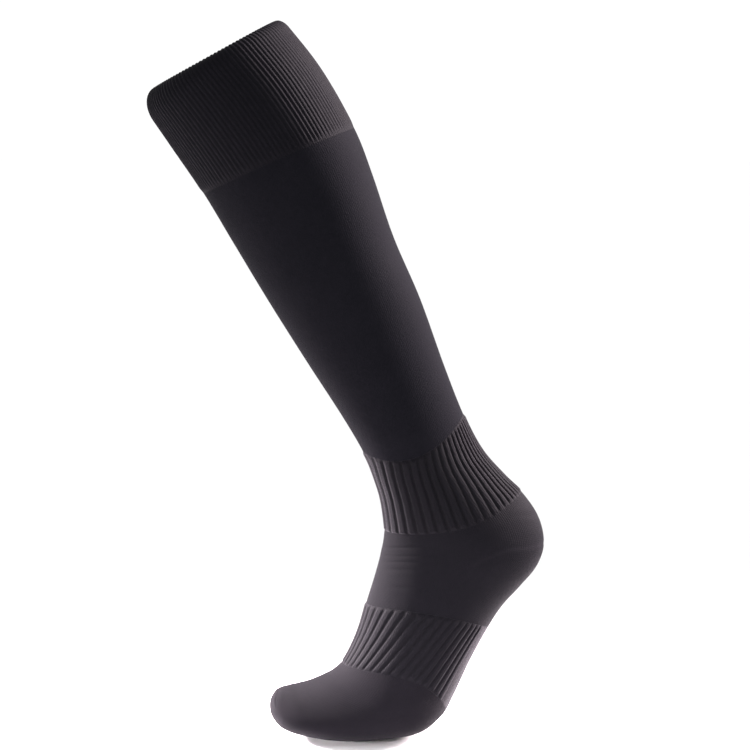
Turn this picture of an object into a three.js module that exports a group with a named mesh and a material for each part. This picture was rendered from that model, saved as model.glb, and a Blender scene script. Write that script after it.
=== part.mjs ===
// A knee-high compression stocking, filled out as it is when worn and open and hollow inside.
// It stands on its toes with the heel raised, and the leg leans forward over the foot.
// Millimetres, +Z up, +X towards the heel, the origin in the middle of the leg opening.
import * as THREE from "three";

// Cloth
const WALL = 1.5;
const WELT_WALL = 2.4;
const SEAM_GAP = 0.36;

// Ribs: a flat ridge between two narrow grooves, raised in the outer points alone. Crowding sets them
// closer at the back than at the front, and wrap is how fast they run round towards the front, in
// radians for each millimetre below the named section.
const BODY_RIBS = 44;
const ANKLE_RIBS = { crowding: 0.5, wrap: 0.0044, from: "ankle low" };
const ARCH_RIBS = { crowding: 0, wrap: 0.0096, from: "arch" };
const NO_WRAP = { wrap: 0, from: "rim" };
const SETTLING_STEPS = 6;
const BODY_RIB_HEIGHT = 0.8;
const BODY_RIB_SHAPE = [{ across: 0, raised: 0 }, { across: 0.32, raised: 1 }, { across: 0.68, raised: 1 }];
const CUFF_RIBS = 110;
const CUFF_RIB_HEIGHT = 0.5;
const CUFF_RIB_SHAPE = [{ across: 0, raised: 0 }, { across: 0.5, raised: 1 }];

// How many ribs of the foot are left out on each side of the middle of the sole
const SOLE_FLAT_RIBS = 5;

// The turned edge at the leg opening, and how much longer and deeper it grows to at the front
const TURN_LENGTH = 8;
const TURN_DEPTH = 5;
const TURN_STEPS = 4;
const TURN_FRONT_GROWTH = 1.4;

// How finely the plain walls are divided round the leg
const PLAIN_FACETS = 72;
const INSIDE_FACETS = 36;
const WELT_INSIDE_FACETS = 50;

// Sections from the leg opening to the toe. Each is a ring round the leg or foot that lies between a
// front point and a back point: x and z are its middle, tilt is how far its line from front to back
// rises in degrees, depth is that line's length, width is the ring's size across, and back is how far
// its widest place lies behind its middle, as a share of half the depth.
const SECTION_COLUMNS = ["name", "x", "z", "tilt", "depth", "width", "back"];
const SECTION_ROWS = [
  ["rim", 0, 0, 29.7, 113.1, 104, 0.02],
  ["band middle", 24.7, -33.5, 27.0, 116.5, 106, 0.05],
  ["band end", 48.0, -71.3, 22.9, 114.0, 104, 0.08],
  ["upper calf", 63.6, -102.7, 25.7, 108.1, 99, 0.1],
  ["calf", 83.6, -145.7, 27.1, 98.1, 91, 0.08],
  ["lower calf", 106.1, -188.4, 28.7, 90.7, 82, 0.0],
  ["shin", 128.6, -234.3, 27.3, 79.1, 72, -0.08],
  ["ankle top", 142.8, -264.4, 21.7, 74.7, 67, -0.14],
  ["ankle", 152.3, -284.3, 15.7, 78.3, 66, -0.18],
  ["ankle low", 162.2, -300.2, 11.1, 88.8, 67, -0.18],
  ["heel start", 170.0, -315.5, 12.6, 100.3, 69, -0.14],
  ["heel upper", 175.2, -326.9, 6.2, 109.5, 70, -0.1],
  ["heel tip", 176.7, -339.0, -0.4, 113.3, 70, -0.06],
  ["heel under", 173.8, -349.1, -5.8, 110.2, 70, -0.04],
  ["heel low", 167.0, -360.4, -10.2, 101.1, 70, 0.0],
  ["foot start", 159.2, -373.4, -11.3, 92.9, 71, 0.06],
  ["arch start", 151.8, -388.8, -11.0, 88.0, 73, 0.1],
  ["arch", 142.3, -411.2, -13.1, 82.2, 79, 0.16],
  ["arch end", 131.1, -434.9, -18.1, 81.2, 87, 0.22],
  ["ball", 123.5, -445.0, -20.7, 83.7, 92, 0.26],
  ["ball front", 112.7, -452.4, -27.0, 80.3, 95, 0.3],
  ["toes", 96.2, -456.6, -32.5, 68.4, 94, 0.32],
  ["toe box", 77.6, -458.8, -43.5, 52.6, 89, 0.3],
  ["toe round", 62.3, -458.3, -66.3, 36.8, 79, 0.22],
  ["toe front", 50.8, -456.3, -93.8, 28.0, 64, 0.12],
  ["toe top", 45.2, -452.1, -114.2, 20.0, 48, 0.05],
  ["toe close", 43.9, -447.5, -134.0, 10.2, 27, 0.0],
  ["toe seam", 45.7, -444.7, -140.0, 0.0, 0, 0.0],
];

// Where one kind of knitting ends and the next begins, in millimetres along the leg: shift moves the
// border down from its section, lean carries it further down at the back than at the front, and dip
// further down at the two sides.
const BORDERS = {
  cuffEnd: { section: "band end", shift: -0.8, lean: -0.7, dip: -1.7 },
  ankleTop: { section: "ankle top", shift: -4.4, lean: 1.5, dip: 13.7 },
  ankleEnd: { section: "heel start", shift: 1.4, lean: -3.5, dip: 8.9 },
  archTop: { section: "arch start", shift: 0.8, lean: -0.5, dip: -6.3 },
  archEnd: { section: "arch end", shift: 6.2, lean: 3.6, dip: -13.8 },
  toeSeam: { section: "toe seam", shift: 0, lean: 0, dip: 0 },
};

// How many steps each zone has from its upper border to its lower one, outside and inside
const STEPS = {
  cuff: { outside: 2, inside: 2 },
  leg: { outside: 10, inside: 5 },
  ankle: { outside: 7, inside: 4 },
  heel: { outside: 14, inside: 8 },
  arch: { outside: 7, inside: 4 },
  toe: { outside: 22, inside: 11 },
};

const COLOURS = { rib: 0x2b292d, plain: 0x232327, heel: 0x29272b, toe: 0x3c383d };
const ROUGHNESS = 0.85;

// A small step for the directions along and round the cloth
const PROBE = 0.05;
const PROBE_ANGLE = 0.005;

/** Turns the rows into objects and adds each ring's front and back points and its place along the leg. */
function readSections() {
  const sections = SECTION_ROWS.map((row) =>
    Object.fromEntries(SECTION_COLUMNS.map((column, i) => [column, row[i]])));
  let along = 0;
  sections.forEach((section, i) => {
    const tilt = THREE.MathUtils.degToRad(section.tilt);
    const half = section.depth / 2;
    section.front = new THREE.Vector2(section.x - half * Math.cos(tilt), section.z - half * Math.sin(tilt));
    section.rear = new THREE.Vector2(section.x + half * Math.cos(tilt), section.z + half * Math.sin(tilt));
    if (i > 0) {
      const last = sections[i - 1];
      along += (section.front.distanceTo(last.front) + section.rear.distanceTo(last.rear)) / 2;
    }
    section.along = along;
  });
  return sections;
}

const SECTIONS = readSections();
const LENGTH = SECTIONS.at(-1).along;

/** The value of a smooth curve through the sections' values at a distance along the leg. */
function smooth(read, along) {
  let i = 0;
  while (i < SECTIONS.length - 2 && SECTIONS[i + 1].along < along) i += 1;
  const [from, to] = [SECTIONS[i], SECTIONS[i + 1]];
  const span = to.along - from.along;
  const t = (along - from.along) / span;
  const slope = (j) => {
    const before = SECTIONS[Math.max(j - 1, 0)];
    const after = SECTIONS[Math.min(j + 1, SECTIONS.length - 1)];
    return (read(after) - read(before)) / (after.along - before.along);
  };
  const h1 = t * t * (3 - 2 * t);
  const h2 = t * (1 - t) * (1 - t);
  const h3 = t * t * (t - 1);
  return read(from) * (1 - h1) + read(to) * h1 + span * (slope(i) * h2 + slope(i + 1) * h3);
}

/** A point of the plain outer surface. The angle is 0 at the back or sole and pi at the front. */
function surfacePoint(along, angle) {
  const u = THREE.MathUtils.clamp(along, 0, LENGTH);
  const value = (read) => smooth(read, u);
  const share = (1 + Math.cos(angle) + value((s) => s.back) * Math.sin(angle) ** 2) / 2;
  const x = THREE.MathUtils.lerp(value((s) => s.front.x), value((s) => s.rear.x), share);
  const z = THREE.MathUtils.lerp(value((s) => s.front.y), value((s) => s.rear.y), share);
  return new THREE.Vector3(x, value((s) => s.width) / 2 * Math.sin(angle), z);
}

/** The surface's point, its direction down the leg with the speed there, and its outward normal. */
function surfaceFrame(along, angle) {
  const before = surfacePoint(along - PROBE, angle);
  const after = surfacePoint(along + PROBE, angle);
  const down = after.sub(before);
  const round = surfacePoint(along, angle + PROBE_ANGLE).sub(surfacePoint(along, angle - PROBE_ANGLE));
  const speed = down.length() / (2 * PROBE);
  const normal = new THREE.Vector3().crossVectors(down, round).normalize();
  return { point: surfacePoint(along, angle), down: down.normalize(), speed, normal };
}

/** A point that lies a height above the plain outer surface, or under it where the height is negative. */
function clothPoint(along, angle, height) {
  const frame = surfaceFrame(along, angle);
  return frame.point.addScaledVector(frame.normal, height);
}

/** How far along the leg the middle line of a border lies at an angle. */
function borderLine(border, angle) {
  const section = SECTIONS.find((s) => s.name === border.section);
  return section.along + border.shift + border.lean * Math.cos(angle) + border.dip * Math.sin(angle) ** 2;
}

/** A border's line moved up (-1) or down (+1) the leg, half a seam gap measured square to the line. */
function borderAt(border, angle, side) {
  const along = borderLine(border, angle);
  const { down, speed } = surfaceFrame(along, angle);
  const onLine = (at) => surfacePoint(borderLine(border, at), at);
  const line = onLine(angle + PROBE_ANGLE).sub(onLine(angle - PROBE_ANGLE)).normalize();
  // Where the toe closes, the line is one point and has no slant
  const slant = new THREE.Vector3().crossVectors(down, line).length() || 1;
  return along + side * SEAM_GAP / 2 / (speed * slant);
}

/** The angles and heights of points evenly spaced round a plain wall. */
function plainRound(facets) {
  return Array.from({ length: facets }, (_, i) => ({ angle: 2 * Math.PI * i / facets, height: 0 }));
}

/** The angle of a mark from its even place round the leg, with the marks crowded towards the back. */
function crowded(even, crowding) {
  let angle = even;
  for (let i = 0; i < SETTLING_STEPS; i += 1) {
    angle -= (angle + crowding * Math.sin(angle) - even) / (1 + crowding * Math.cos(angle));
  }
  return angle;
}

/** An angle moved round towards the front on both sides, the more the greater the growth. */
function wrapped(angle, growth) {
  return 2 * Math.atan2(growth * Math.sin(angle / 2), Math.cos(angle / 2));
}

/** The angles and heights of points round a ribbed wall, with the ribs left flat on a part of it. */
function ribbedRound(count, height, shape, crowding, hasRib = () => true) {
  const pitch = 2 * Math.PI / count;
  const points = [];
  for (let rib = 0; rib < count; rib += 1) {
    const ribHeight = hasRib(rib) ? height : 0;
    for (const mark of shape) {
      const angle = crowded((rib + mark.across) * pitch, crowding);
      points.push({ angle, height: ribHeight * mark.raised });
    }
  }
  return points;
}

/** A list of evenly spaced shares from 0 to 1. */
function shares(steps) {
  return Array.from({ length: steps + 1 }, (_, i) => i / steps);
}

/** Rings of points between two borders, each a list of points and their angles. */
function ringsBetween(upper, lower, round, steps, depth, { wrap, from } = NO_WRAP) {
  const start = SECTIONS.find((s) => s.name === from).along;
  const alongAt = (angle, share) =>
    THREE.MathUtils.lerp(borderAt(upper, angle, 1), borderAt(lower, angle, -1), share);
  return shares(steps).map((share) => round.map((mark) => {
    // The place along the leg and the angle depend on each other, so they settle together
    let { angle } = mark;
    for (let i = 0; i < SETTLING_STEPS; i += 1) {
      angle = wrapped(mark.angle, Math.exp(wrap * (alongAt(angle, share) - start)));
    }
    return { angle, point: clothPoint(alongAt(angle, share), angle, mark.height - depth) };
  }));
}

/** A closed body that takes rings of points and joins them. */
class Body {
  constructor() {
    this.positions = [];
    this.indices = [];
  }

  addPoint(point) {
    this.positions.push(point.x, point.y, point.z);
    return this.positions.length / 3 - 1;
  }

  addRing(ring) {
    return ring.map(({ angle, point }) => ({ angle, index: this.addPoint(point) }));
  }

  addTriangle(a, b, c, flipped) {
    this.indices.push(...(flipped ? [a, c, b] : [a, b, c]));
  }

  /** Joins rings with equal counts, one below the other. */
  addSide(rings, flipped) {
    for (let i = 0; i + 1 < rings.length; i += 1) {
      const [upper, lower] = [rings[i], rings[i + 1]];
      for (let j = 0; j < upper.length; j += 1) {
        const k = (j + 1) % upper.length;
        this.addTriangle(upper[j].index, lower[j].index, lower[k].index, flipped);
        this.addTriangle(upper[j].index, lower[k].index, upper[k].index, flipped);
      }
    }
  }

  /** Joins two rings with different counts, going round both by their angles. */
  addEdge(upper, lower, flipped) {
    const angleAt = (ring, i) => ring[i % ring.length].angle + (i >= ring.length ? 2 * Math.PI : 0);
    let [i, j] = [0, 0];
    while (i < upper.length || j < lower.length) {
      const [a, b] = [upper[i % upper.length].index, lower[j % lower.length].index];
      const upperNext = i < upper.length ? angleAt(upper, i + 1) : Infinity;
      const lowerNext = j < lower.length ? angleAt(lower, j + 1) : Infinity;
      if (upperNext <= lowerNext) {
        this.addTriangle(a, b, upper[(i + 1) % upper.length].index, flipped);
        i += 1;
      } else {
        this.addTriangle(a, b, lower[(j + 1) % lower.length].index, flipped);
        j += 1;
      }
    }
  }

  /** Closes a ring with one point. */
  addTip(ring, point, flipped) {
    const tip = this.addPoint(point);
    ring.forEach((vertex, i) => {
      this.addTriangle(vertex.index, tip, ring[(i + 1) % ring.length].index, flipped);
    });
  }

  toGeometry() {
    const geometry = new THREE.BufferGeometry();
    geometry.setAttribute("position", new THREE.Float32BufferAttribute(this.positions, 3));
    geometry.setIndex(this.indices);
    geometry.computeVertexNormals();
    return geometry;
  }
}

/** A named mesh with its own matt material. */
function clothMesh(name, body, color) {
  const material = new THREE.MeshStandardMaterial({ color, roughness: ROUGHNESS, metalness: 0 });
  const mesh = new THREE.Mesh(body.toGeometry(), material);
  mesh.name = name;
  return mesh;
}

/** A tube of cloth between two borders, open at both ends. */
function makeTube(name, upper, lower, round, steps, color, ribs = NO_WRAP) {
  const body = new Body();
  const outsideRings = ringsBetween(upper, lower, round, steps.outside, 0, ribs);
  const insideRings = ringsBetween(upper, lower, plainRound(INSIDE_FACETS), steps.inside, WALL);
  const outside = outsideRings.map((ring) => body.addRing(ring));
  const inside = insideRings.map((ring) => body.addRing(ring));
  body.addSide(outside, false);
  body.addSide(inside, true);
  body.addEdge(inside[0], outside[0], false);
  body.addEdge(outside.at(-1), inside.at(-1), false);
  return clothMesh(name, body, color);
}

/** The toe: a tube that closes over the toes, up to the seam that lies across their tips. */
function makeToe(name, upper, steps, color) {
  const body = new Body();
  const outsideRings = ringsBetween(upper, BORDERS.toeSeam, plainRound(PLAIN_FACETS), steps.outside, 0);
  const insideRings = ringsBetween(upper, BORDERS.toeSeam, plainRound(INSIDE_FACETS), steps.inside, WALL);
  const outside = outsideRings.slice(0, -1).map((ring) => body.addRing(ring));
  const inside = insideRings.slice(0, -1).map((ring) => body.addRing(ring));
  const tip = surfacePoint(LENGTH, 0);
  const last = SECTIONS.at(-2);
  const inward = new THREE.Vector3(last.x - tip.x, 0, last.z - tip.z).normalize();
  body.addSide(outside, false);
  body.addSide(inside, true);
  body.addEdge(inside[0], outside[0], false);
  body.addTip(outside.at(-1), tip, false);
  body.addTip(inside.at(-1), tip.clone().addScaledVector(inward, WALL), true);
  return clothMesh(name, body, color);
}

/** The cuff: a double band of fine ribs whose top edge is turned inwards. */
function makeCuff(name, lower, steps, color) {
  const body = new Body();
  const ribs = ribbedRound(CUFF_RIBS, CUFF_RIB_HEIGHT, CUFF_RIB_SHAPE, 0);
  const plain = plainRound(WELT_INSIDE_FACETS);
  const growth = (angle) => 1 + TURN_FRONT_GROWTH * ((1 - Math.cos(angle)) / 2) ** 2;
  const turnLength = (angle) => TURN_LENGTH * growth(angle);
  const turnDepth = (angle) => TURN_DEPTH * growth(angle);
  const lifts = shares(TURN_STEPS).slice(0, -1).map((share) => (1 - share) * Math.PI / 2);

  // Over the turn, the outer surface is a quarter of an ellipse that starts level with the opening
  const turned = (angle, height, lift) => {
    const frame = surfaceFrame(turnLength(angle) * (1 - Math.sin(lift)), angle);
    return frame.point
      .addScaledVector(frame.normal, height * Math.cos(lift) - turnDepth(angle) * (1 - Math.cos(lift)))
      .addScaledVector(frame.down, -height * Math.sin(lift));
  };
  // The inner surface is one too, that ends the welt's thickness below the plain outer surface
  const underTurn = (angle, lift) => {
    const depth = turnDepth(angle) - (turnDepth(angle) - WELT_WALL) * Math.cos(lift);
    return clothPoint(WELT_WALL + turnLength(angle) * (1 - Math.sin(lift)), angle, -depth);
  };
  const straight = (round, gap, depth, count) => shares(count).map((share) => round.map((mark) => {
    const from = turnLength(mark.angle) + gap;
    const along = THREE.MathUtils.lerp(from, borderAt(lower, mark.angle, -1), share);
    return { angle: mark.angle, point: clothPoint(along, mark.angle, mark.height - depth) };
  }));
  const turn = lifts.map((lift) => ribs.map(({ angle, height }) => (
    { angle, point: turned(angle, height, lift) })));
  const under = lifts.map((lift) => plain.map(({ angle }) => ({ angle, point: underTurn(angle, lift) })));

  const outside = [...turn, ...straight(ribs, 0, 0, steps.outside)].map((ring) => body.addRing(ring));
  const inside = [...under, ...straight(plain, WELT_WALL, WELT_WALL, steps.inside)]
    .map((ring) => body.addRing(ring));
  body.addSide(outside, false);
  body.addSide(inside, true);
  body.addEdge(inside[0], outside[0], false);
  body.addEdge(outside.at(-1), inside.at(-1), false);
  return clothMesh(name, body, color);
}

/** Whether a rib of the foot lies off the plain sole. */
function isOffSole(rib) {
  return rib >= SOLE_FLAT_RIBS && rib < BODY_RIBS - SOLE_FLAT_RIBS;
}

const ankleRibs = ribbedRound(BODY_RIBS, BODY_RIB_HEIGHT, BODY_RIB_SHAPE, ANKLE_RIBS.crowding);
const archRibs = ribbedRound(BODY_RIBS, BODY_RIB_HEIGHT, BODY_RIB_SHAPE, ARCH_RIBS.crowding, isOffSole);
const plainFacets = plainRound(PLAIN_FACETS);

const stocking = new THREE.Group();
stocking.add(
  makeCuff("cuff", BORDERS.cuffEnd, STEPS.cuff, COLOURS.rib),
  makeTube("leg", BORDERS.cuffEnd, BORDERS.ankleTop, plainFacets, STEPS.leg, COLOURS.plain),
  makeTube("ankle_rib", BORDERS.ankleTop, BORDERS.ankleEnd, ankleRibs, STEPS.ankle, COLOURS.rib, ANKLE_RIBS),
  makeTube("heel", BORDERS.ankleEnd, BORDERS.archTop, plainFacets, STEPS.heel, COLOURS.heel),
  makeTube("arch_rib", BORDERS.archTop, BORDERS.archEnd, archRibs, STEPS.arch, COLOURS.rib, ARCH_RIBS),
  makeToe("toe", BORDERS.archEnd, STEPS.toe, COLOURS.toe),
);

export default stocking;
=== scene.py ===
"""A knee-high compression stocking in its worn shape, with its floor, light and camera.

Lengths are in metres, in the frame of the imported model: +Z is up, +X points to the heel, and the
origin is the middle of the cuff's top end, over its outside. Angles round the leg are zero at the
back of the leg and under the sole, and negative on the side that the camera sees.
"""
import logging
import math
from dataclasses import dataclass, field
from enum import Enum
from typing import Any, Sequence, Union

import bmesh
import bpy
import numpy as np
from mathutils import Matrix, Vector

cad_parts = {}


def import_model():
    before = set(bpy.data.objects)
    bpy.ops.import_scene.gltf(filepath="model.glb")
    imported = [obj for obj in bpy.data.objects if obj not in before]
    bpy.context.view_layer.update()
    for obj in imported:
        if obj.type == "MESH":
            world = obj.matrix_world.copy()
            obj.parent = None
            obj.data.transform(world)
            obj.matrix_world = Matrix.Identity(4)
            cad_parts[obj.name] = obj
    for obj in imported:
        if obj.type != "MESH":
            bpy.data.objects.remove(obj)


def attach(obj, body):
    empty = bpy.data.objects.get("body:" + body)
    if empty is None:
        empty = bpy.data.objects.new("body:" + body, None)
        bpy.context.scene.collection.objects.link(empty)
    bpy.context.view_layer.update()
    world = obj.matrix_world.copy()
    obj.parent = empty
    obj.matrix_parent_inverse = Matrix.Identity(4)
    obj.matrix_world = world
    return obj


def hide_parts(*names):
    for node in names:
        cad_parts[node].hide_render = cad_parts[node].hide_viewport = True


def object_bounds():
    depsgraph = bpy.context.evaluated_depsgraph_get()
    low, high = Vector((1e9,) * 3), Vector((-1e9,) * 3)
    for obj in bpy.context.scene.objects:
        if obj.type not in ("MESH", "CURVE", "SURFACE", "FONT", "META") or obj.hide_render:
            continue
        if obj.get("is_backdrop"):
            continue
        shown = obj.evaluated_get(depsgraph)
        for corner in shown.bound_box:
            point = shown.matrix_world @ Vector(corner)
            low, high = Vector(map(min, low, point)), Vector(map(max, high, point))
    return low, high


LOG = logging.getLogger("stocking")
BODY = "root"

# The cloth, and the hairline left between two kinds of knitting
WALL = 0.0012
WELT_WALL = 0.0024
HAIRLINE = 0.00004

# Names of what the finishes read from the meshes
KNIT_MAP = "knit"
RIDGE = "ridge"
GORE = "gore"
INSIDE = "inside"

# Points closer than this are one point
WELD = 0.000002

# Corners of the cloth sharper than this keep a crisp edge
CRISP = math.radians(55)

# A small step for directions along the leg, in metres, and round it, in radians
PROBE = 0.00005
PROBE_TURN = 0.005


@dataclass(frozen=True)
class Section:
    """A ring round the leg or foot, between a front and a rear point.

    x and z are its middle, tilt is how far its line to the rear rises in degrees, depth is that
    line's length, width is its size across, and back is how far its widest place lies behind its
    middle, as a share of half the depth.
    """

    name: str
    x: float
    z: float
    tilt: float
    depth: float
    width: float
    back: float


SECTIONS = (
    Section("rim", 0.0, 0.0, 29.7, 0.1131, 0.104, 0.02),
    Section("band middle", 0.0247, -0.0335, 27.0, 0.1165, 0.106, 0.05),
    Section("band end", 0.0480, -0.0713, 22.9, 0.1140, 0.104, 0.08),
    Section("upper calf", 0.0636, -0.1027, 25.7, 0.1081, 0.099, 0.1),
    Section("calf", 0.0836, -0.1457, 27.1, 0.0981, 0.091, 0.08),
    Section("lower calf", 0.1061, -0.1884, 28.7, 0.0907, 0.082, 0.0),
    Section("shin", 0.1286, -0.2343, 27.3, 0.0791, 0.072, -0.08),
    Section("ankle top", 0.1428, -0.2644, 21.7, 0.0747, 0.067, -0.14),
    Section("ankle", 0.1523, -0.2843, 15.7, 0.0783, 0.066, -0.18),
    Section("ankle low", 0.1622, -0.3002, 11.1, 0.0888, 0.067, -0.18),
    Section("heel start", 0.1700, -0.3155, 12.6, 0.1003, 0.069, -0.14),
    Section("heel upper", 0.1752, -0.3269, 6.2, 0.1095, 0.070, -0.1),
    Section("heel tip", 0.1767, -0.3390, -0.4, 0.1133, 0.070, -0.06),
    Section("heel under", 0.1738, -0.3491, -5.8, 0.1102, 0.070, -0.04),
    Section("heel low", 0.1670, -0.3604, -10.2, 0.1011, 0.070, 0.0),
    Section("foot start", 0.1592, -0.3734, -11.3, 0.0929, 0.071, 0.06),
    Section("arch start", 0.1518, -0.3888, -11.0, 0.0880, 0.073, 0.1),
    Section("arch", 0.1423, -0.4112, -13.1, 0.0822, 0.079, 0.16),
    Section("arch end", 0.1311, -0.4349, -18.1, 0.0812, 0.087, 0.22),
    Section("ball", 0.1235, -0.4450, -20.7, 0.0837, 0.092, 0.26),
    Section("ball front", 0.1127, -0.4524, -27.0, 0.0803, 0.095, 0.3),
    Section("toes", 0.0962, -0.4566, -32.5, 0.0684, 0.094, 0.32),
    Section("toe box", 0.0776, -0.4588, -43.5, 0.0526, 0.089, 0.3),
    Section("toe round", 0.0623, -0.4583, -66.3, 0.0368, 0.079, 0.22),
    Section("toe front", 0.0508, -0.4563, -93.8, 0.0280, 0.064, 0.12),
    Section("toe top", 0.0452, -0.4521, -114.2, 0.0200, 0.048, 0.05),
    Section("toe close", 0.0439, -0.4475, -134.0, 0.0102, 0.027, 0.0),
    Section("toe seam", 0.0457, -0.4447, -140.0, 0.0, 0.0, 0.0),
)


def ease(value: np.ndarray) -> np.ndarray:
    """Turns values into a soft step, 0 up to zero and 1 from one."""
    share = np.clip(value, 0.0, 1.0)
    return share * share * (3.0 - 2.0 * share)


def folded(angle: np.ndarray) -> np.ndarray:
    """Turns angles round the leg into ones from -pi to pi, zero at the back."""
    return (angle + np.pi) % (2.0 * np.pi) - np.pi


@dataclass(frozen=True)
class Skin:
    """Points on the plain outer surface with their directions down the leg and outwards."""

    point: np.ndarray
    down: np.ndarray
    outward: np.ndarray


class Form:
    """The stocking's plain outer surface, smooth through its sections."""

    def __init__(self, sections: Sequence[Section]) -> None:
        """Works out where the sections lie and how the surface runs through them.

        Args:
            sections: The rings from the leg opening to the toe.
        """
        tilt = np.radians([section.tilt for section in sections])
        middle = np.array([(section.x, section.z) for section in sections])
        half = np.array([[section.depth / 2.0] for section in sections])
        reach = half * np.stack([np.cos(tilt), np.sin(tilt)], axis=1)
        front = middle - reach
        rear = middle + reach
        front_stride = np.linalg.norm(np.diff(front, axis=0), axis=1)
        rear_stride = np.linalg.norm(np.diff(rear, axis=0), axis=1)
        others = np.array([(section.width, section.back) for section in sections])
        self.names = [section.name for section in sections]
        self.places = np.concatenate([[0.0], np.cumsum((front_stride + rear_stride) / 2.0)])
        self.values = np.hstack([front, rear, others])
        order = np.arange(len(sections))
        before = np.maximum(order - 1, 0)
        after = np.minimum(order + 1, len(sections) - 1)
        spans = self.places[after] - self.places[before]
        self.slopes = (self.values[after] - self.values[before]) / spans[:, None]

    @property
    def length(self) -> float:
        """How long the stocking is along the leg."""
        return float(self.places[-1])

    def place(self, name: str) -> float:
        """How far along the leg a named section lies."""
        return float(self.places[self.names.index(name)])

    def read(self, along: np.ndarray) -> np.ndarray:
        """Reads the sections' smooth values.

        Args:
            along: Distances along the leg.

        Returns:
            For each distance the front x and z, the rear x and z, the width and the back share.
        """
        last = len(self.places) - 2
        i = np.clip(np.searchsorted(self.places, along, side="left") - 1, 0, last)
        span = (self.places[i + 1] - self.places[i])[..., None]
        t = (along - self.places[i])[..., None] / span
        arrive = t * t * (3.0 - 2.0 * t)
        leave_slope = t * (1.0 - t) ** 2
        arrive_slope = t * t * (t - 1.0)
        level = self.values[i] * (1.0 - arrive) + self.values[i + 1] * arrive
        return level + span * (self.slopes[i] * leave_slope + self.slopes[i + 1] * arrive_slope)

    def point(self, along: np.ndarray, angle: np.ndarray) -> np.ndarray:
        """Finds points of the plain outer surface.

        Args:
            along: Distances along the leg.
            angle: Angles round it.

        Returns:
            The points, one for each distance and angle.
        """
        along, angle = np.broadcast_arrays(np.clip(along, 0.0, self.length), angle)
        value = self.read(along)
        share = (1.0 + np.cos(angle) + value[..., 5] * np.sin(angle) ** 2) / 2.0
        x = value[..., 0] * (1.0 - share) + value[..., 2] * share
        z = value[..., 1] * (1.0 - share) + value[..., 3] * share
        return np.stack([x, value[..., 4] / 2.0 * np.sin(angle), z], axis=-1)

    def skin(self, along: np.ndarray, angle: np.ndarray) -> Skin:
        """Finds points of the plain outer surface with their directions.

        Args:
            along: Distances along the leg.
            angle: Angles round it.

        Returns:
            The points, the directions down the leg and the outward ones.
        """
        down = self.point(along + PROBE, angle) - self.point(along - PROBE, angle)
        across = self.point(along, angle + PROBE_TURN) - self.point(along, angle - PROBE_TURN)
        outward = np.cross(down, across)
        outward /= np.maximum(np.linalg.norm(outward, axis=-1, keepdims=True), SHORTEST)
        down /= np.maximum(np.linalg.norm(down, axis=-1, keepdims=True), SHORTEST)
        return Skin(self.point(along, angle), down, outward)


@dataclass(frozen=True)
class Border:
    """Where one kind of knitting ends and the next begins.

    shift moves it down the leg from its section, lean carries it further down at the back than at
    the front, and dip further down at the two sides.
    """

    section: str
    shift: float = 0.0
    lean: float = 0.0
    dip: float = 0.0

    def along(self, form: Form, angle: np.ndarray) -> np.ndarray:
        """Finds the border's line.

        Args:
            form: The stocking's surface.
            angle: Angles round the leg.

        Returns:
            How far along the leg the line lies at each angle.
        """
        place = form.place(self.section) + self.shift
        return place + self.lean * np.cos(angle) + self.dip * np.sin(angle) ** 2


RIM = Border("rim")
CUFF_END = Border("band end", -0.0008, -0.0007, -0.0017)
ANKLE_TOP = Border("ankle top", -0.0044, 0.0015, 0.0137)
ANKLE_END = Border("heel start", 0.0014, -0.0035, 0.0089)
ARCH_TOP = Border("arch start", 0.0008, -0.0005, -0.0063)
ARCH_END = Border("arch end", 0.0062, 0.0036, -0.0138)
TOE_SEAM = Border("toe seam")


@dataclass(frozen=True)
class Crease:
    """A soft trough across the cloth with a low swelling on each side.

    angle and along are its middle, half_turn is half its length as an angle, half_width is half
    its breadth, depth is how far it sinks, and slant is how far along the leg it runs for each
    radian that it goes round.
    """

    angle: float
    along: float
    half_turn: float
    half_width: float
    depth: float
    slant: float

    def height(self, along: np.ndarray, angle: np.ndarray) -> np.ndarray:
        """Finds how far the crease moves the cloth.

        Args:
            along: Distances along the leg.
            angle: Angles round it.

        Returns:
            The heights, negative in the trough.
        """
        turn = folded(angle - math.radians(self.angle))
        off = (along - self.along - self.slant * turn) / self.half_width
        fade = np.exp(-((turn / math.radians(self.half_turn)) ** 4))
        return -self.depth * (1.0 - off**2) * np.exp(-(off**2)) * fade


# Where the cloth gives at the front of the ankle, on the near side and then on the far one
ANKLE_CREASES = (
    Crease(-142, 0.3878, 30, 0.0026, 0.00028, -0.009),
    Crease(-136, 0.3966, 25, 0.0022, 0.00022, -0.012),
    Crease(-134, 0.4030, 21, 0.0020, 0.00024, -0.014),
    Crease(-130, 0.4098, 24, 0.0026, 0.00019, -0.013),
    Crease(-124, 0.4234, 18, 0.0024, 0.00016, -0.012),
    Crease(140, 0.3896, 27, 0.0025, 0.00027, 0.010),
    Crease(133, 0.3990, 22, 0.0023, 0.00020, 0.013),
    Crease(137, 0.4062, 20, 0.0021, 0.00023, 0.012),
    Crease(127, 0.4188, 22, 0.0026, 0.00017, 0.013),
)

# Small ones where the cloth turns over the back of the heel
HEEL_CREASES = (
    Crease(-20, 0.3716, 16, 0.0022, 0.00022, 0.004),
    Crease(17, 0.3728, 14, 0.0021, 0.00020, -0.004),
)


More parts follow.
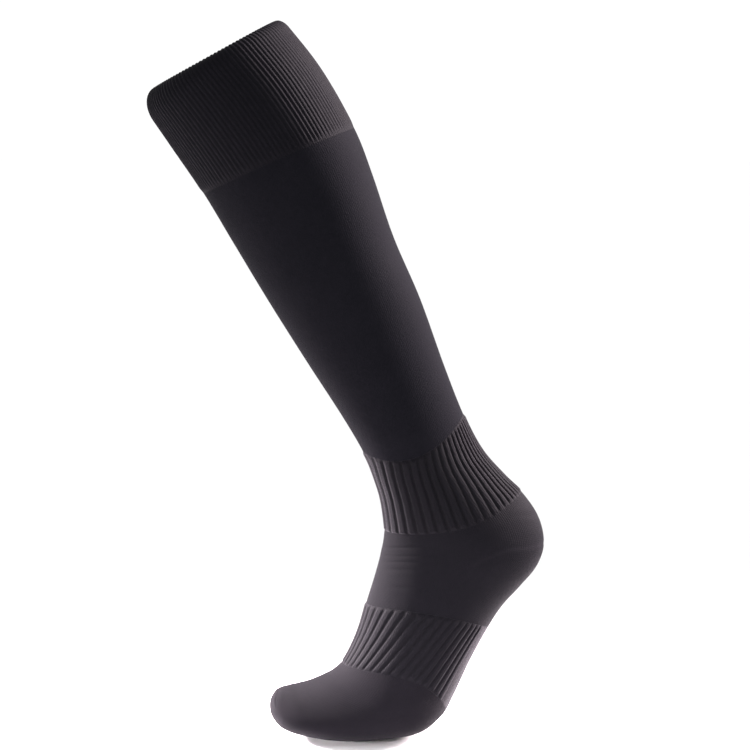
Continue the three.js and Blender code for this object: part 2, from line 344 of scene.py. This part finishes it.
@dataclass(frozen=True)
class Rib:
    """Ribs that run down the leg.

    count is how many go round, height how high they stand, and slope how much of each one's half
    pitch the side of the groove takes. Ribs sink into plain cloth over the length fade. crowding
    sets them closer at the back than at the front, and wrap is how fast they run round towards the
    front below the start section, in radians for each metre.
    """

    count: int
    height: float
    slope: float
    fade: float = 0.0022
    crowding: float = 0.0
    wrap: float = 0.0
    start: str = "rim"

    def unwrapped(self, form: Form, along: np.ndarray, angle: np.ndarray) -> np.ndarray:
        """Follows the ribs back up to the angles where they begin.

        Args:
            form: The stocking's surface.
            along: Distances along the leg.
            angle: Angles round it.

        Returns:
            The angles of the same ribs at the start section, from -pi to pi.
        """
        half = folded(angle) / 2.0
        back = np.exp(-self.wrap * (along - form.place(self.start)))
        return 2.0 * np.arctan2(np.sin(half) * back, np.cos(half))

    def crown(self, form: Form, along: np.ndarray, angle: np.ndarray) -> np.ndarray:
        """Finds how far up a rib points lie.

        Args:
            form: The stocking's surface.
            along: Distances along the leg.
            angle: Angles round it.

        Returns:
            0 in a groove and 1 on a rib's flat top.
        """
        begun = self.unwrapped(form, along, angle)
        turn = (begun + self.crowding * np.sin(begun)) * self.count / (2.0 * np.pi) % 1.0
        return ease(np.minimum(turn, 1.0 - turn) * 2.0 / self.slope)


FINE_RIBS = Rib(count=110, height=0.0005, slope=0.9, fade=0.0055)
ANKLE_RIBS = Rib(count=44, height=0.0008, slope=0.64, crowding=0.5, wrap=4.4, start="ankle low")
ARCH_RIBS = Rib(count=44, height=0.0008, slope=0.64, wrap=9.6, start="arch")

# How much of their height the ribs show inside
RIB_INSIDE = 0.35

# How light the cloth is where ribs have faded, 0 as in a groove with its painted shade and 1 as on a rib
FADED_TONE = 0.55

# Shares of the knit's tone: how much painted shade falls between the stitches' legs on a rib, how much
# loose fibre shows, how much the gore line lightens and how much painted shade darkens the inside
STITCH_TONE = 0.55
FIBRE_TONE = 0.5
GORE_TONE = 0.35
INSIDE_SHADE = 0.4

# How far the mottling takes the roughness up and down in all, and the mottling's finer layers
ROUGHNESS_SPREAD = 0.16
MOTTLE_LAYERS = 3.0
MOTTLE_ROUGHNESS = 0.6

# A direction's length below this is taken as this, so that none is divided by nothing
SHORTEST = 1e-15


@dataclass
class Relief:
    """What stands up from or sinks into the plain surface, for the shape and for the finish."""

    height: np.ndarray
    crown: np.ndarray
    gore: np.ndarray


@dataclass(frozen=True)
class Lane:
    """One row of points round the leg.

    share is its place between the zone's borders and offset its distance from there along the leg,
    and depth is how far it lies inside the outer surface. roll and tuck add shares of a turned
    edge's length and depth, lift is how far the outward side has turned up towards the opening,
    inside says that the lane is on the inner face, and pole that it closes to a point.
    """

    share: float
    offset: float = 0.0
    depth: float = 0.0
    roll: float = 0.0
    tuck: float = 0.0
    lift: float = 0.0
    inside: bool = False
    pole: bool = False


class Fade(Enum):
    """Which borders the ribs sink into plain cloth at."""

    BOTH = "both"
    LOWER = "lower"


def shares(steps: int) -> list[float]:
    """Lists evenly spaced shares from 0 to 1."""
    return [step / steps for step in range(steps + 1)]


class Graph:
    """A material's nodes, made one at a time."""

    def __init__(self, material: bpy.types.Material) -> None:
        """Clears a material's nodes.

        Args:
            material: The material that gets new nodes.
        """
        material.use_nodes = True
        self.tree = material.node_tree
        self.tree.nodes.clear()

    def node(self, kind: str, settings: dict[str, Any], values: dict[Any, Any]) -> bpy.types.Node:
        """Makes a node.

        Args:
            kind: Its type.
            settings: Its own settings by name, which are set first.
            values: What its sockets take, by name or number: a number, a colour, a link or a value.

        Returns:
            The new node.
        """
        node = self.tree.nodes.new(kind)
        for name, setting in settings.items():
            setattr(node, name, setting)
        for name, value in values.items():
            socket = node.inputs[name]
            if isinstance(value, Value):
                self.tree.links.new(value.socket, socket)
            elif isinstance(value, bpy.types.NodeSocket):
                self.tree.links.new(value, socket)
            else:
                socket.default_value = value
        return node

    def maths(self, operation: str, *terms: "Term") -> "Value":
        """Makes a Math node.

        Args:
            operation: What it works out.
            terms: The numbers or values that it takes.

        Returns:
            Its result.
        """
        node = self.node("ShaderNodeMath", {"operation": operation}, dict(enumerate(terms)))
        return Value(self, node.outputs[0])

    def attribute(self, name: str) -> "Value":
        """Reads a number that the mesh holds."""
        return Value(self, self.node("ShaderNodeAttribute", {"attribute_name": name}, {}).outputs["Fac"])

    def noise(self, where: bpy.types.NodeSocket, scale: float, detail: float) -> "Value":
        """Makes a noise from 0 to 1.

        Args:
            where: The coordinates that it reads.
            scale: How many cells fit in a metre.
            detail: How many finer layers it has.

        Returns:
            The noise.
        """
        values = {"Vector": where, "Scale": scale, "Detail": detail, "Roughness": MOTTLE_ROUGHNESS}
        return Value(self, self.node("ShaderNodeTexNoise", {}, values).outputs["Fac"])

    def blend(self, share: "Value", low: Any, high: Any) -> bpy.types.NodeSocket:
        """Blends two colours.

        Args:
            share: How much of the second colour shows.
            low: The first colour, or a link to it.
            high: The second colour, or a link to it.

        Returns:
            The blended colour.
        """
        settings = {"data_type": "RGBA", "clamp_factor": True}
        node = self.node("ShaderNodeMix", settings, {0: share, 6: low, 7: high})
        return node.outputs[2]


class Value:
    """A number in a material that can be used in sums."""

    def __init__(self, graph: Graph, socket: bpy.types.NodeSocket) -> None:
        """Wraps a socket.

        Args:
            graph: The material's nodes.
            socket: The output that gives the number.
        """
        self.graph = graph
        self.socket = socket

    def __add__(self, other: "Term") -> "Value":
        """Adds."""
        return self.graph.maths("ADD", self, other)

    def __radd__(self, other: float) -> "Value":
        """Adds to a number."""
        return self.graph.maths("ADD", other, self)

    def __sub__(self, other: "Term") -> "Value":
        """Takes away."""
        return self.graph.maths("SUBTRACT", self, other)

    def __rsub__(self, other: float) -> "Value":
        """Takes away from a number."""
        return self.graph.maths("SUBTRACT", other, self)

    def __mul__(self, other: "Term") -> "Value":
        """Multiplies."""
        return self.graph.maths("MULTIPLY", self, other)

    def __rmul__(self, other: float) -> "Value":
        """Multiplies a number."""
        return self.graph.maths("MULTIPLY", other, self)

    def __truediv__(self, other: "Term") -> "Value":
        """Divides."""
        return self.graph.maths("DIVIDE", self, other)

    def __pow__(self, other: "Term") -> "Value":
        """Raises to a power."""
        return self.graph.maths("POWER", self, other)

    def __abs__(self) -> "Value":
        """Drops the sign."""
        return self.graph.maths("ABSOLUTE", self)

    def part(self) -> "Value":
        """Keeps what is past the whole number."""
        return self.graph.maths("FRACT", self)

    def sine(self) -> "Value":
        """Takes the sine."""
        return self.graph.maths("SINE", self)


Term = Union[Value, float]
Colour = tuple[float, float, float, float]


@dataclass(frozen=True)
class KnitFinish:
    """Matt black yarn in plain stitches, each a pair of slanting legs.

    yarn is its colour on a rib or in plain cloth, shade is painted shade laid in grooves, between a
    stitch's legs and on the inner face, and heather is its colour on loose fibres.
    wales is how many stitches go round the leg and course how long one is. stitch and fuzz are how
    far the stitches and the loose fibres stand up, slant is how far a stitch's legs lean, and fibres
    and clouds are how many of the fine and the broad mottles fit in a metre.
    """

    name: str
    yarn: Colour
    shade: Colour
    heather: Colour
    sheen: float
    sheen_roughness: float
    roughness: float
    gloss: float = 0.05
    wales: int = 200
    course: float = 0.0009
    stitch: float = 0.00012
    fuzz: float = 0.00012
    slant: float = 0.55
    fibres: float = 800.0
    clouds: float = 28.0

    def build(self) -> bpy.types.Material:
        """Makes the material.

        Returns:
            The new material.
        """
        material = bpy.data.materials.new(self.name)
        graph = Graph(material)
        knit = graph.node("ShaderNodeUVMap", {"uv_map": KNIT_MAP}, {}).outputs["UV"]
        split = graph.node("ShaderNodeSeparateXYZ", {}, {"Vector": knit})
        place = graph.node("ShaderNodeTexCoord", {}, {}).outputs["Object"]
        turn = Value(graph, split.outputs["X"])
        along = Value(graph, split.outputs["Y"])
        crown = graph.attribute(RIDGE)
        gore = graph.attribute(GORE)
        inside = graph.attribute(INSIDE)

        across = abs((turn * float(self.wales)).part() - 0.5) * 2.0
        legs = ((along / self.course - across * self.slant).part() * math.pi).sine()
        stitch = legs * (1.0 - across**4.0)
        fibre = graph.noise(place, self.fibres, MOTTLE_LAYERS)
        cloud = graph.noise(place, self.clouds, MOTTLE_LAYERS)

        relief = stitch * self.stitch + fibre * self.fuzz
        bump = graph.node("ShaderNodeBump", {}, {"Strength": 1.0, "Distance": 1.0,
                                                 "Height": relief})

        # Painted shade: grooves and the gaps between a stitch's legs blend towards the shade colour
        tone = graph.blend(crown * (1.0 - STITCH_TONE + stitch * STITCH_TONE), self.shade, self.yarn)
        tone = graph.blend(fibre * cloud * FIBRE_TONE + gore * GORE_TONE, tone, self.heather)
        # Painted shade on the inner face of the cloth
        tone = graph.blend(inside * INSIDE_SHADE, tone, self.shade)
        rough = self.roughness + (cloud - 0.5) * ROUGHNESS_SPREAD
        shader = graph.node("ShaderNodeBsdfPrincipled", {}, {
            "Base Color": tone,
            "Roughness": rough,
            "Normal": bump.outputs["Normal"],
            "Specular IOR Level": self.gloss,
            "Sheen Weight": self.sheen,
            "Sheen Roughness": self.sheen_roughness,
            "Sheen Tint": (0.86, 0.82, 0.90, 1.0),
        })
        graph.node("ShaderNodeOutputMaterial", {}, {"Surface": shader.outputs[0]})
        return material


FINE_RIB_KNIT = KnitFinish(
    "fine rib knit", (0.0031, 0.0030, 0.0048, 1.0), (0.0024, 0.0023, 0.0037, 1.0),
    (0.0100, 0.0087, 0.0118, 1.0), sheen=0.030, sheen_roughness=0.32, roughness=0.66)
PLAIN_KNIT = KnitFinish(
    "plain knit", (0.0041, 0.0042, 0.0060, 1.0), (0.0025, 0.0026, 0.0038, 1.0),
    (0.0140, 0.0132, 0.0170, 1.0), sheen=0.018, sheen_roughness=0.34, roughness=0.68, gloss=0.02,
    stitch=0.00008, fuzz=0.00028)
WIDE_RIB_KNIT = KnitFinish(
    "wide rib knit", (0.0037, 0.0035, 0.0052, 1.0), (0.0017, 0.0017, 0.0026, 1.0),
    (0.0105, 0.0092, 0.0122, 1.0), sheen=0.14, sheen_roughness=0.33, roughness=0.64)
HEEL_KNIT = KnitFinish(
    "heel knit", (0.0031, 0.0030, 0.0046, 1.0), (0.0020, 0.0020, 0.0031, 1.0),
    (0.0100, 0.0089, 0.0120, 1.0), sheen=0.03, sheen_roughness=0.34, roughness=0.70)
TOE_KNIT = KnitFinish(
    "toe knit", (0.0039, 0.0035, 0.0051, 1.0), (0.0024, 0.0022, 0.0033, 1.0),
    (0.0110, 0.0095, 0.0126, 1.0), sheen=0.035, sheen_roughness=0.38, roughness=0.76, fuzz=0.00016)


@dataclass
class Zone:
    """One kind of knitting: a closed wall of cloth between two borders.

    around is how many points a lane has, outside and inside are how many steps the lanes of the
    two faces take, and flat is the cloth's relaxed size, round the leg and along it, which is not used.
    """

    name: str
    node: str
    slot: str
    upper: Border
    lower: Border
    finish: KnitFinish
    flat: tuple[float, float]
    around: int = 320
    outside: int = 60
    inside: int = 16
    wall: float = WALL
    creases: tuple[Crease, ...] = ()
    piece: bpy.types.Object = field(init=False)

    def lanes(self) -> list[Lane]:
        """Lists the lanes down the outer face and back up the inner one."""
        outer = [Lane(share) for share in shares(self.outside)]
        inner = [Lane(share, depth=self.wall, inside=True) for share in reversed(shares(self.inside))]
        return outer + inner

    def borders(self, form: Form, angle: np.ndarray) -> tuple[np.ndarray, np.ndarray]:
        """Finds the lines that the zone ends at, each half a hairline from its border.

        Args:
            form: The stocking's surface.
            angle: Angles round the leg.

        Returns:
            How far along the leg the upper and the lower line lie.
        """
        upper = self.upper.along(form, angle) + HAIRLINE / 2.0
        lower = self.lower.along(form, angle) - HAIRLINE / 2.0
        return upper, lower

    def turned_edge(self, angle: np.ndarray) -> tuple[np.ndarray, np.ndarray]:
        """Finds the size of the turned edge at the zone's top.

        Args:
            angle: Angles round the leg.

        Returns:
            Its length along the leg and its depth inwards, none where the edge is plain.
        """
        return np.zeros_like(angle), np.zeros_like(angle)

    def relief(self, form: Form, along: np.ndarray, angle: np.ndarray) -> Relief:
        """Finds what stands up from the plain surface.

        Args:
            form: The stocking's surface.
            along: Distances along the leg.
            angle: Angles round it.

        Returns:
            Plain knitting, which has no relief.
        """
        plain = np.zeros(np.broadcast(along, angle).shape)
        return Relief(plain, plain + 1.0, plain)

    def build(self, form: Form) -> None:
        """Makes the zone's mesh: a grid whose lanes are laid down one face and up the other.

        Args:
            form: The stocking's surface.
        """
        lanes = self.lanes()
        lanes.append(lanes[0])
        shell = bmesh.new()
        bmesh.ops.create_grid(shell, x_segments=self.around, y_segments=len(lanes) - 1, size=1.0)
        mesh = bpy.data.meshes.new(self.name)
        shell.to_mesh(mesh)
        shell.free()
        raw = np.empty(len(mesh.vertices) * 3)
        mesh.vertices.foreach_get("co", raw)
        raw = raw.reshape(-1, 3)
        column = np.rint((raw[:, 0] + 1.0) / 2.0 * self.around).astype(int)
        row = np.rint((raw[:, 1] + 1.0) / 2.0 * (len(lanes) - 1)).astype(int)

        points, along, relief, inside = self.lay(form, lanes)
        mesh.vertices.foreach_set("co", points[row, column].ravel())
        self.note(mesh, RIDGE, relief.crown[row, column])
        self.note(mesh, GORE, relief.gore[row, column])
        self.note(mesh, INSIDE, np.broadcast_to(inside, along.shape)[row, column])
        self.map_knit(mesh, column / self.around, along[row, column])
        self.close(mesh, lanes, row)
        self.piece = bpy.data.objects.new(self.name, mesh)
        bpy.context.scene.collection.objects.link(self.piece)

    def lay(self, form: Form, lanes: list[Lane]) -> tuple[np.ndarray, np.ndarray, Relief, np.ndarray]:
        """Lays the lanes in place.

        Args:
            form: The stocking's surface.
            lanes: The lanes in order round the wall.

        Returns:
            The points by lane and step round, how far along the leg they lie, their relief, and
            for each lane 1 where it is on the inner face.
        """
        share, offset, depth, roll, tuck, lift = (
            np.array([getattr(lane, name) for lane in lanes])[:, None]
            for name in ("share", "offset", "depth", "roll", "tuck", "lift"))
        inside = np.array([[float(lane.inside)] for lane in lanes])
        angle = np.arange(self.around + 1)[None, :] * (2.0 * np.pi / self.around)
        upper, lower = self.borders(form, angle)
        turn_length, turn_depth = self.turned_edge(angle)
        along = upper * (1.0 - share) + lower * share + offset + roll * turn_length
        relief = self.relief(form, along, angle)
        height = relief.height * (1.0 - inside * (1.0 - RIB_INSIDE))
        fold = sum((crease.height(along, angle) for crease in self.creases), np.zeros_like(along))
        skin = form.skin(along, angle)
        out = height * np.cos(lift) + fold - depth - tuck * turn_depth
        points = skin.point + skin.outward * out[..., None]
        points = points - skin.down * (height * np.sin(lift))[..., None]
        for number, lane in enumerate(lanes):
            if lane.pole:
                points[number] = points[number].mean(axis=0)
        return points, along, relief, inside

    def note(self, mesh: bpy.types.Mesh, name: str, values: np.ndarray) -> None:
        """Keeps a number for each point in the mesh.

        Args:
            mesh: The mesh.
            name: What the finish calls the number.
            values: The numbers.
        """
        attribute = mesh.attributes.new(name, "FLOAT", "POINT")
        attribute.data.foreach_set("value", values.astype(np.float32))

    def map_knit(self, mesh: bpy.types.Mesh, turn: np.ndarray, along: np.ndarray) -> None:
        """Maps the cloth: across is the share of a turn and up is the distance along the leg.

        Args:
            mesh: The mesh.
            turn: Each point's share of a turn.
            along: Each point's distance along the leg.
        """
        corners = np.empty(len(mesh.loops), dtype=np.int32)
        mesh.loops.foreach_get("vertex_index", corners)
        chart = mesh.uv_layers.new(name=KNIT_MAP)
        chart.data.foreach_set("uv", np.stack([turn[corners], along[corners]], axis=1).ravel())

    def close(self, mesh: bpy.types.Mesh, lanes: list[Lane], row: np.ndarray) -> None:
        """Welds the grid into one closed wall with its faces outwards.

        Args:
            mesh: The mesh.
            lanes: The lanes in order round the wall.
            row: The lane that each point is on.
        """
        poles = {number for number, lane in enumerate(lanes) if lane.pole}
        shell = bmesh.new()
        shell.from_mesh(mesh)
        between = [face for face in shell.faces
                   if poles and {int(row[corner.index]) for corner in face.verts} <= poles]
        bmesh.ops.delete(shell, geom=between, context="FACES")
        bmesh.ops.remove_doubles(shell, verts=shell.verts, dist=WELD)
        bmesh.ops.recalc_face_normals(shell, faces=shell.faces)
        if shell.calc_volume(signed=True) < 0.0:
            bmesh.ops.reverse_faces(shell, faces=shell.faces)
        shell.to_mesh(mesh)
        shell.free()
        mesh.shade_smooth()
        mesh.set_sharp_from_angle(angle=CRISP)

    def dress(self) -> None:
        """Gives the zone its finish."""
        self.piece.data.materials.append(self.finish.build())

    def declare(self) -> None:
        """Hangs the piece on the body and hides the model's part that it stands in for."""
        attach(self.piece, BODY)
        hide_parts(self.node)

    def make(self, form: Form) -> None:
        """Args:
            form: The stocking's surface.
        """
        self.build(form)
        self.dress()
        self.declare()
        LOG.info("%s: %d faces", self.name, len(self.piece.data.polygons))


@dataclass
class RibbedZone(Zone):
    """Knitting with ribs that sink into the plain cloth at its borders.

    fade says at which, and plain_ribs is how many ribs stay flat on each side of the sole's middle.
    """

    rib: Rib = FINE_RIBS
    fade: Fade = Fade.BOTH
    plain_ribs: int = 0

    def relief(self, form: Form, along: np.ndarray, angle: np.ndarray) -> Relief:
        """Finds how the ribs stand up.

        Args:
            form: The stocking's surface.
            along: Distances along the leg.
            angle: Angles round it.

        Returns:
            The ribs' relief.
        """
        upper, lower = self.borders(form, angle)
        to_border = lower - along
        if self.fade is Fade.BOTH:
            to_border = np.minimum(to_border, along - upper)
        sole = self.plain_ribs * 2.0 * np.pi / self.rib.count
        off_sole = np.abs(self.rib.unwrapped(form, along, angle)) >= sole
        shown = ease(to_border / self.rib.fade) * off_sole
        crown = self.rib.crown(form, along, angle)
        # The tone sets how much of a groove's painted shade the finish lays on
        tone = FADED_TONE + (crown - FADED_TONE) * shown
        return Relief(self.rib.height * crown * shown, tone, 0.0 * crown)


@dataclass
class Cuff(RibbedZone):
    """The band of fine ribs at the top, a double welt whose edge is turned inwards.

    turn_length and turn_depth are how far the turned edge reaches along the leg and inwards at the
    back, and front_growth is how much more it does at the front.
    """

    fade: Fade = Fade.LOWER
    turn_length: float = 0.008
    turn_depth: float = 0.005
    front_growth: float = 1.4
    turn_steps: int = 12
    lip_steps: int = 6

    def lanes(self) -> list[Lane]:
        """Lists the lanes over the turned edge, down the outer face and back up the inner one."""
        lifts = [math.pi / 2.0 * (1.0 - share) for share in shares(self.turn_steps)[:-1]]
        half = self.wall / 2.0
        turned = [Lane(0.0, roll=1.0 - math.sin(lift), tuck=1.0 - math.cos(lift), lift=lift)
                  for lift in lifts]
        outer = [Lane(share, roll=1.0 - share) for share in shares(self.outside)]
        inner = [Lane(share, self.wall * (1.0 - share), self.wall, roll=1.0 - share, inside=True)
                 for share in reversed(shares(self.inside))]
        under = [Lane(0.0, self.wall, self.wall * math.cos(lift), roll=1.0 - math.sin(lift),
                      tuck=1.0 - math.cos(lift), inside=True)
                 for lift in reversed(lifts)]
        lip = [Lane(0.0, half + half * math.cos(turn), half * math.sin(turn), tuck=1.0, inside=True)
               for turn in (math.pi * share for share in shares(self.lip_steps)[1:-1])]
        return turned + outer + inner + under + lip

    def turned_edge(self, angle: np.ndarray) -> tuple[np.ndarray, np.ndarray]:
        """Finds the size of the turned edge, which grows towards the front.

        Args:
            angle: Angles round the leg.

        Returns:
            Its length along the leg and its depth inwards.
        """
        growth = 1.0 + self.front_growth * ((1.0 - np.cos(angle)) / 2.0) ** 2
        return self.turn_length * growth, self.turn_depth * growth


@dataclass
class Heel(Zone):
    """The plain cloth of the ankle's front and the heel pocket, with the pocket's gore line.

    The line starts level round the back of the heel, bends down the side of the foot and fades
    there. line is its place along the leg, bend the angle where it leaves the level, run the angle
    that it then covers, drop how far down it goes and fade the share of the run that it fades over.
    """

    line: float = 0.3866
    bend: float = 45.0
    run: float = 49.0
    drop: float = 0.022
    fade: float = 1.1
    breadth: float = 0.0010
    depth: float = 0.00024

    def relief(self, form: Form, along: np.ndarray, angle: np.ndarray) -> Relief:
        """Finds the gore line's shallow trough.

        Args:
            form: The stocking's surface.
            along: Distances along the leg.
            angle: Angles round it.

        Returns:
            The line's relief.
        """
        turn = np.degrees(np.abs(folded(angle)))
        past = np.clip((turn - self.bend) / self.run, 0.0, None)
        steep = 2.0 * self.drop * past / math.radians(self.run) / (form.read(along)[..., 4] / 2.0)
        off = (along - self.line - self.drop * past**2) / np.sqrt(1.0 + steep**2)
        gore = np.exp(-((off / self.breadth) ** 2)) * (1.0 - ease(past / self.fade))
        return Relief(-self.depth * gore, np.ones_like(gore), gore)


@dataclass
class Toe(Zone):
    """The plain toe pocket, closed by a low seam that lies across the tips of the toes.

    half_seam is half the seam's length, and seam_breadth and seam_height are its size. seam_ease is
    the length over which it rises at its ends, and seam_tone how much lighter it is.
    """

    half_seam: float = 0.024
    seam_breadth: float = 0.0009
    seam_height: float = 0.00045
    seam_ease: float = 0.004
    seam_tone: float = 0.6
    seam_start: str = "toe front"

    def lanes(self) -> list[Lane]:
        """Lists the lanes, with the last of each face closing to a point."""
        outer = [Lane(share) for share in shares(self.outside)[:-1]]
        inner = [Lane(share, depth=self.wall, inside=True)
                 for share in reversed(shares(self.inside)[:-1])]
        tips = [Lane(1.0, pole=True), Lane(1.0, depth=self.wall, inside=True, pole=True)]
        return outer + tips + inner

    def relief(self, form: Form, along: np.ndarray, angle: np.ndarray) -> Relief:
        """Finds the seam's low ridge.

        Args:
            form: The stocking's surface.
            along: Distances along the leg.
            angle: Angles round it.

        Returns:
            The seam's relief.
        """
        value = form.read(np.clip(along, 0.0, form.length))
        depth = np.linalg.norm(value[..., 2:4] - value[..., 0:2], axis=-1)
        off = depth / 2.0 * np.cos(angle)
        side = np.abs(value[..., 4] / 2.0 * np.sin(angle))
        reach = ease((self.half_seam - side) / self.seam_ease)
        started = ease((along - form.place(self.seam_start)) / self.seam_ease)
        seam = np.exp(-((off / self.seam_breadth) ** 2)) * reach * started
        return Relief(self.seam_height * seam, np.ones_like(seam), self.seam_tone * seam)


@dataclass
class Stocking:
    """The whole stocking, its zones of knitting from the cuff to the toe."""

    form: Form = field(default_factory=lambda: Form(SECTIONS))

    def zones(self) -> list[Zone]:
        """Lists the zones from the top down."""
        return [
            Cuff("cuff_knit", "cuff", "fine_rib_knit", RIM, CUFF_END, FINE_RIB_KNIT,
                 flat=(0.275, 0.090), around=770, outside=46, inside=14, wall=WELT_WALL,
                 rib=FINE_RIBS),
            Zone("leg_knit", "leg", "plain_knit", CUFF_END, ANKLE_TOP, PLAIN_KNIT,
                 flat=(0.225, 0.215), around=320, outside=110, inside=30),
            RibbedZone("ankle_rib_knit", "ankle_rib", "wide_rib_knit", ANKLE_TOP, ANKLE_END,
                       WIDE_RIB_KNIT, flat=(0.200, 0.058), around=660, outside=60, inside=14,
                       rib=ANKLE_RIBS),
            Heel("heel_knit", "heel", "heel_knit", ANKLE_END, ARCH_TOP, HEEL_KNIT,
                 flat=(0.235, 0.068), around=360, outside=96, inside=24,
                 creases=ANKLE_CREASES + HEEL_CREASES),
            RibbedZone("arch_rib_knit", "arch_rib", "wide_rib_knit", ARCH_TOP, ARCH_END,
                       WIDE_RIB_KNIT, flat=(0.205, 0.053), around=660, outside=50, inside=12,
                       rib=ARCH_RIBS, plain_ribs=5),
            Toe("toe_knit", "toe", "toe_knit", ARCH_END, TOE_SEAM, TOE_KNIT,
                flat=(0.200, 0.092), around=320, outside=110, inside=26),
        ]

    def make(self) -> None:
        """Makes every zone in turn."""
        for zone in self.zones():
            zone.make(self.form)


@dataclass(frozen=True)
class Softbox:
    """A soft light: where it stands, what it points at, its size, watts, spread and colour.

    spread is how wide its beam opens, in degrees.
    """

    name: str
    place: tuple[float, float, float]
    aim: tuple[float, float, float]
    width: float
    height: float
    watts: float
    spread: float
    colour: tuple[float, float, float]

    def build(self) -> None:
        """Makes the light."""
        lamp = bpy.data.lights.new(self.name, "AREA")
        lamp.shape = "RECTANGLE"
        lamp.size = self.width
        lamp.size_y = self.height
        lamp.energy = self.watts
        lamp.spread = math.radians(self.spread)
        lamp.color = self.colour
        light = bpy.data.objects.new(self.name, lamp)
        light.location = self.place
        heading = Vector(self.aim) - Vector(self.place)
        light.rotation_euler = heading.to_track_quat("-Z", "Y").to_euler()
        bpy.context.scene.collection.objects.link(light)


@dataclass
class Studio:
    """The pale floor, the soft light and the camera.

    rise is how far above level the camera looks from, in degrees, distance how far it stands from
    what it points at, and view how wide the picture is there.
    """

    rise: float = 6.0
    distance: float = 2.0
    view: float = 0.525
    aim: tuple[float, float, float] = (0.1144, 0.0, -0.2203)
    sensor: float = 36.0
    floor_radius: float = 14.0
    floor_gap: float = 0.0003
    floor_colour: Colour = (0.97, 0.97, 0.97, 1.0)
    sky: Colour = (1.0, 1.0, 1.0, 1.0)
    sky_strength: float = 1.05
    lights: tuple[Softbox, ...] = (
        Softbox("back softbox", (1.26, 0.38, 0.45), (0.16, 0.0, -0.26), 0.4, 1.1, 13.0, 40.0,
                (1.0, 0.86, 0.90)),
        Softbox("front softbox", (-0.9, -0.9, -0.25), (0.12, 0.0, -0.48), 0.2, 0.2, 0.38, 16.0,
                (1.0, 0.91, 0.96)),
        Softbox("top softbox", (-1.05, 0.5, 0.1), (0.08, 0.0, -0.46), 0.3, 0.3, 4.2, 22.0,
                (1.0, 0.88, 0.94)),
    )

    def build(self, floor_height: float) -> None:
        """Makes the floor, the light and the camera.

        Args:
            floor_height: How high the stocking's lowest point lies.
        """
        self.lay_floor(floor_height - self.floor_gap)
        self.light_sky()
        for light in self.lights:
            light.build()
        self.set_camera()
        bpy.context.scene.view_settings.view_transform = "Standard"

    def lay_floor(self, height: float) -> None:
        """Makes the floor, a wide disc.

        Args:
            height: How high it lies.
        """
        disc = bmesh.new()
        bmesh.ops.create_circle(disc, cap_ends=True, segments=96, radius=self.floor_radius)
        bmesh.ops.translate(disc, verts=disc.verts, vec=(self.aim[0], 0.0, height))
        mesh = bpy.data.meshes.new("floor")
        disc.to_mesh(mesh)
        disc.free()
        floor = bpy.data.objects.new("floor", mesh)
        bpy.context.scene.collection.objects.link(floor)
        material = bpy.data.materials.new("pale floor")
        graph = Graph(material)
        shader = graph.node("ShaderNodeBsdfPrincipled", {}, {
            "Base Color": self.floor_colour, "Roughness": 0.9, "Specular IOR Level": 0.1})
        graph.node("ShaderNodeOutputMaterial", {}, {"Surface": shader.outputs[0]})
        mesh.materials.append(material)
        floor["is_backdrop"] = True

    def light_sky(self) -> None:
        """Makes the pale light from all round."""
        world = bpy.data.worlds.new("studio")
        world.use_nodes = True
        background = world.node_tree.nodes["Background"]
        background.inputs["Color"].default_value = self.sky
        background.inputs["Strength"].default_value = self.sky_strength
        bpy.context.scene.world = world

    def set_camera(self) -> None:
        """Makes the camera and looks through it."""
        rise = math.radians(self.rise)
        lens = bpy.data.cameras.new("camera")
        lens.sensor_width = self.sensor
        lens.lens = self.sensor * self.distance / self.view
        camera = bpy.data.objects.new("camera", lens)
        away = Vector((0.0, -math.cos(rise), math.sin(rise)))
        camera.location = Vector(self.aim) + away * self.distance
        camera.rotation_euler = (math.pi / 2.0 - rise, 0.0, 0.0)
        bpy.context.scene.collection.objects.link(camera)
        bpy.context.scene.camera = camera


def corners(box: Any) -> list[list[float]]:
    """Turns a box into plain lists of numbers.

    Args:
        box: Its lowest and highest corners.

    Returns:
        The two corners as lists.
    """
    return [[float(number) for number in corner] for corner in box]


def main() -> None:
    """Builds the studio, with its floor under the model's lowest point, and then the stocking."""
    logging.basicConfig(level=logging.INFO, format="%(message)s")
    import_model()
    solid_box = corners(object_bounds())
    Studio().build(floor_height=solid_box[0][2])
    Stocking().make()


if __name__ == "__main__":
    main()
